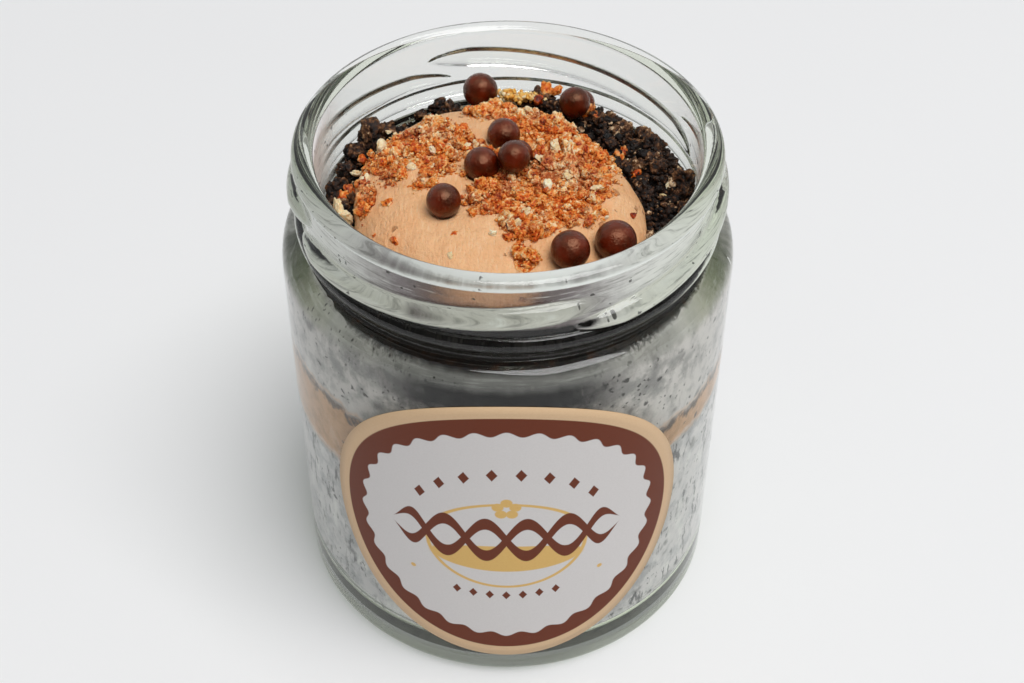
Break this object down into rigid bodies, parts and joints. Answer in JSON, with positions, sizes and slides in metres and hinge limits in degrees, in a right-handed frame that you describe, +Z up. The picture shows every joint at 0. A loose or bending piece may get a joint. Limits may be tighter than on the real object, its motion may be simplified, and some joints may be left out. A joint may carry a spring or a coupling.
{
  "type": "layered chocolate dessert in a glass jar",
  "caption": "Open round glass jar with a threaded neck, filled with layers of cream and biscuit under dark crumbs, a scoop of cream and chocolate balls",
  "frame": {"origin": "centre of the base ring that the jar stands on, on the jar's axis", "axes": "+Z up along the jar's axis, -Y towards the front with the round label, +X to the label's right as seen from the front"},
  "size_m": [0.072, 0.0723, 0.0896],
  "materials": {
    "jar_glass": "clear polished glass with a faint green tint in its thick edges",
    "label_paper": "satin printed paper",
    "lower_cream": "soft matt cream with dark biscuit specks",
    "tan_cream": "smooth matt coffee-coloured cream",
    "upper_cream": "soft matt cream full of dark biscuit specks",
    "dark_crumbs": "rough dry dark chocolate crumbs",
    "scoop_cream": "smooth matt cream with toffee-brown biscuit crumbs",
    "chocolate": "satin polished chocolate coating"
  },
  "bodies": {
    "root": {"glass_jar": "jar_glass", "label": "label_paper", "lower_cream": "lower_cream", "tan_cream": "tan_cream", "upper_cream": "upper_cream", "dark_crumbs": "dark_crumbs", "cream_scoop": "scoop_cream", "chocolate_ball_1": "chocolate", "chocolate_ball_2": "chocolate", "chocolate_ball_3": "chocolate", "chocolate_ball_4": "chocolate", "chocolate_ball_5": "chocolate", "chocolate_ball_6": "chocolate", "chocolate_ball_7": "chocolate", "chocolate_ball_8": "chocolate", "chocolate_ball_9": "chocolate", "chocolate_ball_10": "chocolate"}
  },
  "joints": []
}
